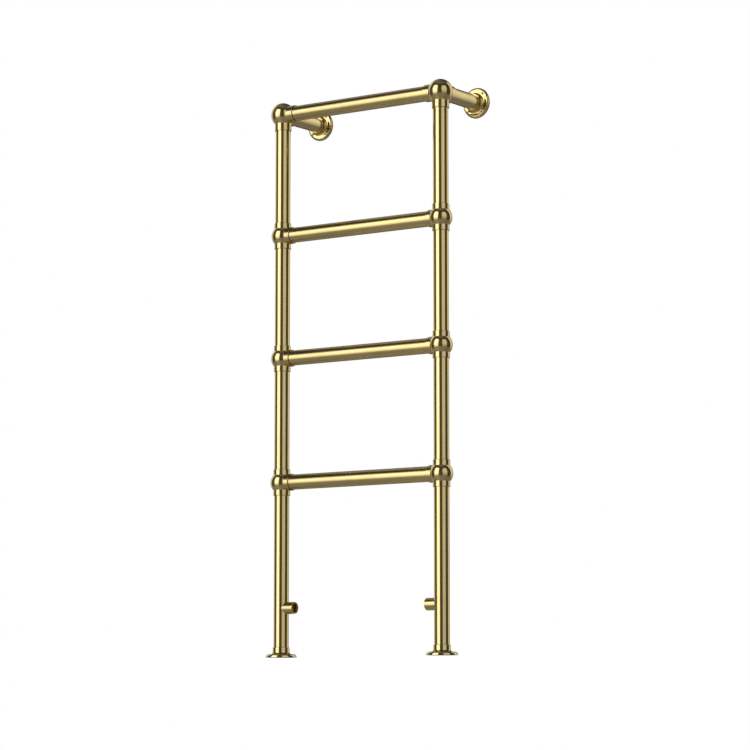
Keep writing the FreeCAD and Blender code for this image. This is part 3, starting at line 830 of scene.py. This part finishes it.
def fixing_drills(axis, base, grub_side, dims):
    """One drill for each fixing hole. The first is half a step round from the grub screw."""
    out, radius = dims["pcd_mm"] * MM / 2, dims["hole_r_mm"] * MM
    slope = (CROWN_HEIGHT - RIM_HEIGHT) / (FLANGE_RADIUS - NECK_RADIUS)
    face = RIM_HEIGHT + slope * (FLANGE_RADIUS - out)
    outline = [(-DRILL_ROOM, 0), (-DRILL_ROOM, radius), (face - COUNTERSINK, radius),
               (face + DRILL_ROOM, radius + COUNTERSINK + DRILL_ROOM), (face + DRILL_ROOM, 0)]
    drills = []
    for turn in range(SCREWS):
        towards = Matrix.Rotation(math.tau * (turn + 0.5) / SCREWS, 3, axis) @ grub_side
        drills.append(lathe(outline, axis, base + towards * out, ring=False))
    return drills


def flange_piece(name, node, body, axis, grub_side, mount, closed):
    """Flange with its holes, on the base that its mount gives."""
    base = Vector(mount["pos_m"])
    drills = fixing_drills(axis, base, grub_side, mount["dims"])
    drills.append(rod(TUBE_BORE, FLANGE_RADIUS, GRUB_HOLE, grub_side, base + axis * GRUB_HEIGHT))
    shape = combine("DIFFERENCE", flange_outline(axis, base, closed), *drills)
    # Painted shade in the hollow between plate and neck, on the floor flanges only.
    root_shade = (base + axis * (CROWN_HEIGHT + ROOT_SHADE_PLACE), axis, NECK_RADIUS + ROOT_SHADE_PLACE)
    keep_piece(shape, name, [FLANGE_BRASS], body, [node],
               seams=[] if closed else [root_shade], reach=ROOT_SHADE_REACH, turned_about=(base, axis))


for side in INWARD:
    flange_piece(f"{side}_floor_rose", f"{side}_foot_flange", "rail_frame", UP, BACK,
                 mounts[f"{side}_floor_fixing"], closed=False)
    flange_piece(f"{side}_wall_rose", f"{side}_wall_flange", f"{side}_flange_set", -BACK, UP,
                 mounts[f"{side}_wall_fixing"], closed=True)

# %% [markdown]
# ## Grub screws
# A headless screw with a hexagon socket holds each flange on its tube. It is a few millimetres
# long, so a dark spot could stand in for the socket. Here the socket is cut, because it is the
# one feature that shows from close by.

# %% Grub screws
GRUB_RADIUS, GRUB_LENGTH = 0.0020, 0.0022
GRUB_BEVEL, GRUB_TIP_BEVEL = 0.0002, 0.0005
GRUB_HEX, GRUB_HEX_DEPTH = 0.0020, 0.0014
HEX_CORNERS = 6


def hex_radius(across_flats):
    """Distance from the middle of a hexagon to its corners."""
    return across_flats / 2 / math.cos(math.pi / HEX_CORNERS)


def hex_prism(across_flats, start, end, axis, centre):
    """Hexagon bar along an axis."""
    bm = bmesh.new()
    radius = hex_radius(across_flats)
    bmesh.ops.create_cone(bm, cap_ends=True, segments=HEX_CORNERS, radius1=radius, radius2=radius,
                          depth=end - start)
    turn = UP.rotation_difference(axis).to_matrix().to_4x4()
    move = Matrix.Translation(centre + axis * (start + end) / 2)
    bmesh.ops.transform(bm, verts=bm.verts, matrix=move @ turn)
    return bm


def grub_screw(axis, tip):
    """Grub screw, from its tip along the axis to its socket."""
    body = lathe([(0, 0), (0, GRUB_RADIUS - GRUB_TIP_BEVEL), (GRUB_TIP_BEVEL, GRUB_RADIUS),
                  (GRUB_LENGTH - GRUB_BEVEL, GRUB_RADIUS), (GRUB_LENGTH, GRUB_RADIUS - GRUB_BEVEL),
                  (GRUB_LENGTH, 0)], axis, tip, ring=False)
    socket_start, socket_end = GRUB_LENGTH - GRUB_HEX_DEPTH, GRUB_LENGTH + GRUB_BEVEL
    return combine("DIFFERENCE", body, hex_prism(GRUB_HEX, socket_start, socket_end, axis, tip))


for side in INWARD:
    node = f"{side}_wall_grub_screw"
    tip = walls[side] - BACK * GRUB_HEIGHT
    tip.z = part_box(node)[0].z
    keep_piece(grub_screw(UP, tip), f"{side}_wall_grub", [SCREW_STEEL],
               f"{side}_flange_set", [node])
tips = [feet[side] + UP * GRUB_HEIGHT for side in INWARD]
for tip in tips:
    tip.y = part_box("foot_grub_screws")[0].y
keep_piece(gather(*(grub_screw(BACK, tip) for tip in tips)), "foot_grubs", [SCREW_STEEL],
           nodes=["foot_grub_screws"])

# %% [markdown]
# ## Inlets
# Short stubs for the valves, threaded inside and saddled onto the legs. The stub is a ring
# outline with the saddle cut away. A bump could draw the thread, but the mouth is open to view
# and its edge would stay smooth. So the thread is one flat-topped triangle spun with a step along
# the axis for every step round it, which is how a screw is made from a spin. The inside is left
# raw, so its faces get the duller finish, whose darker brown is painted shade.

# %% Inlets
INLET_RADIUS, INLET_BEVEL = 0.0150, 0.0006
THREAD_ROOT, THREAD_CREST, THREAD_PITCH = 0.0132, 0.01205, 0.001814
THREAD_FLAT, THREAD_SINK = 0.00015, 0.00008
THREAD_STEPS = 48


def thread_ridge(start, end, axis, centre):
    """Helical ridge inside a bore, sunk a little into its wall."""
    bm = bmesh.new()
    out = axis.orthogonal().normalized()
    half, foot = THREAD_PITCH / 2 - THREAD_FLAT, THREAD_ROOT + THREAD_SINK
    outline = [(start - half, foot), (start - THREAD_FLAT, THREAD_CREST),
               (start + THREAD_FLAT, THREAD_CREST), (start + half, foot)]
    corners = [bm.verts.new(centre + axis * along + out * radius) for along, radius in outline]
    bm.faces.new(corners)
    steps = round((end - start) / THREAD_PITCH * THREAD_STEPS)
    bmesh.ops.spin(bm, geom=bm.faces[:], cent=centre, axis=axis, steps=steps,
                   dvec=axis * THREAD_PITCH / THREAD_STEPS, angle=math.tau * steps / THREAD_STEPS)
    bmesh.ops.remove_doubles(bm, verts=bm.verts, dist=MERGE)
    bmesh.ops.recalc_face_normals(bm, faces=bm.faces)
    return bm


def saddle(stub_radius, tube_axis, centre):
    """The room of a tube, to cut from a stub that sits on it."""
    return rod(-stub_radius * 2, stub_radius * 2, SOCKET_RADIUS, tube_axis, centre)


def inlet_piece(side, inward):
    """Stub with its thread, from the axis of the leg to the mouth."""
    node = f"{side}_inlet"
    root = Vector((feet[side].x, feet[side].y, inlets[side].z))
    mouth = reach_to(node, root, inward)
    bottom = mouth - mounts[f"{side}_inlet_thread"]["dims"]["length_mm"] * MM
    stub = lathe([(0, PORT_RADIUS), (0, INLET_RADIUS), (mouth - INLET_BEVEL, INLET_RADIUS),
                  (mouth, INLET_RADIUS - INLET_BEVEL), (mouth, THREAD_ROOT + INLET_BEVEL),
                  (mouth - INLET_BEVEL, THREAD_ROOT), (bottom, THREAD_ROOT), (bottom, PORT_RADIUS)],
                 inward, root)
    ridge = thread_ridge(bottom + THREAD_PITCH, mouth - THREAD_PITCH, inward, root)
    shape = gather(combine("DIFFERENCE", stub, saddle(INLET_RADIUS, UP, root)), ridge)
    for face in shape.faces:
        away = off_axis(face.calc_center_median(), root, inward)[1]
        # Faces inside the bore get the raw finish, darker as painted shade.
        face.material_index = away < THREAD_ROOT + THREAD_SINK
    keep_piece(shape, f"{side}_inlet_stub", [STUB_BRASS, BORE_BRASS], nodes=[node],
               turned_about=(root, inward))


for side, inward in INWARD.items():
    inlet_piece(side, inward)

# %% [markdown]
# ## Boss and seal of the air vent
# Air gathers in the top rail and is let out at the back, through a boss that is saddled onto the
# rail as the inlets are. A rubber ring lies on the boss, and its outer edges are rounded in the
# outline.

# %% Boss and seal
BOSS_RADIUS, BOSS_BORE, BOSS_BEVEL = 0.0080, 0.0049, 0.0006
SEAL_INNER, SEAL_OUTER, SEAL_ROUND = 0.0049, 0.0067, 0.0005

boss_height = reach_to("vent_boss", vent, BACK)
boss_top = vent + BACK * boss_height
boss = lathe([(0, BOSS_BORE), (0, BOSS_RADIUS), (boss_height - BOSS_BEVEL, BOSS_RADIUS),
              (boss_height, BOSS_RADIUS - BOSS_BEVEL), (boss_height, BOSS_BORE)], BACK, vent)
keep_piece(combine("DIFFERENCE", boss, saddle(BOSS_RADIUS, RIGHT, vent)), "air_vent_boss",
           [STUB_BRASS], nodes=["vent_boss"], turned_about=(vent, BACK))

seal_top = reach_to("vent_seal", boss_top, BACK)
seal = lathe([(0, SEAL_INNER), (0, SEAL_OUTER, SEAL_ROUND), (seal_top, SEAL_OUTER, SEAL_ROUND),
              (seal_top, SEAL_INNER)], BACK, boss_top)
keep_piece(seal, "air_vent_seal", [SEAL_RUBBER], nodes=["vent_seal"])

# %% [markdown]
# ## Plug of the air vent
# The plug has a hexagon head and a shank in the boss. The head is a prism trimmed by a spun
# outline, which gives the bevelled corners that a hexagon bar gets on a lathe. The bore narrows
# to a cone, the seat that the bleed screw closes.

# %% Plug
VENT_HEX = 0.0140
TRIM_ALONG, TRIM_INWARD = 0.00045, 0.00030
PLUG_SHANK = 0.00485
ORIFICE, SCREW_BORE = 0.0015, 0.0031
SEAT_START, SEAT_END = -0.0035, -0.0019

plug_start = -reach_to("vent_plug", boss_top, -BACK)
plug_top = reach_to("vent_plug", boss_top, BACK)
trim = lathe([(seal_top, 0), (seal_top, hex_radius(VENT_HEX)),
              (plug_top - TRIM_ALONG, hex_radius(VENT_HEX)), (plug_top, VENT_HEX / 2 - TRIM_INWARD),
              (plug_top, 0)], BACK, boss_top, ring=False)
head = combine("INTERSECT", hex_prism(VENT_HEX, seal_top, plug_top, BACK, boss_top), trim)
shank = rod(plug_start, (seal_top + plug_top) / 2, PLUG_SHANK, BACK, boss_top)
bore_start, bore_end = plug_start - DRILL_ROOM, plug_top + DRILL_ROOM
bore = lathe([(bore_start, 0), (bore_start, ORIFICE), (SEAT_START, ORIFICE), (SEAT_END, SCREW_BORE),
              (bore_end, SCREW_BORE), (bore_end, 0)], BACK, boss_top, ring=False)
keep_piece(combine("DIFFERENCE", combine("UNION", head, shank), bore), "air_vent_plug",
           [STUB_BRASS], nodes=["vent_plug"], turned_about=(boss_top, BACK))

# %% [markdown]
# ## Bleed screw
# The bleed screw turns in the plug, so it rides on a body of its own. Its stem is spun and ends
# in a cone for the seat. Its key has four flats, which no spin gives, so it is a cube stretched
# to length, with its edges rounded.

# %% Bleed screw
BLEED_RADIUS = 0.0030
KEY_WIDTH, KEY_LENGTH, KEY_ROUND = 0.0050, 0.0050, 0.0005
KEY_ROUND_STEPS = 3

tip = -reach_to("bleed_screw", boss_top, -BACK)
key_end = reach_to("bleed_screw", boss_top, BACK)
cone_end, shoulder = tip + SEAT_END - SEAT_START, key_end - KEY_LENGTH
stem = lathe([(tip, 0), (tip, ORIFICE), (cone_end, BLEED_RADIUS), (shoulder, BLEED_RADIUS),
              (shoulder, 0)], BACK, boss_top, ring=False)
whole_key = KEY_LENGTH + KEY_ROUND
key = bmesh.new()
bmesh.ops.create_cube(key, size=1)
bmesh.ops.scale(key, verts=key.verts, vec=(KEY_WIDTH, whole_key, KEY_WIDTH))
bmesh.ops.bevel(key, geom=key.edges[:], offset=KEY_ROUND, segments=KEY_ROUND_STEPS, profile=0.5,
                affect="EDGES", material=-1)
bmesh.ops.translate(key, verts=key.verts, vec=boss_top + BACK * (key_end - whole_key / 2))
keep_piece(combine("UNION", stem, key), "air_vent_screw", [STUB_BRASS],
           "bleed_valve", ["bleed_screw"], turned_about=(boss_top, BACK))

# %% [markdown]
# ## Plugs in the legs
# The cups that close the legs at the floor are plain turned brass and show only from below, so
# the frame's own meshes stay. They get the raw finish, whose darker brown is painted shade.

# %% Plugs in the legs
for side in INWARD:
    plug = frame["nodes"][f"{side}_leg_plug"]
    for slot in plug.material_slots:
        slot.material = BORE_BRASS
    print("kept from the frame:", plug.name)
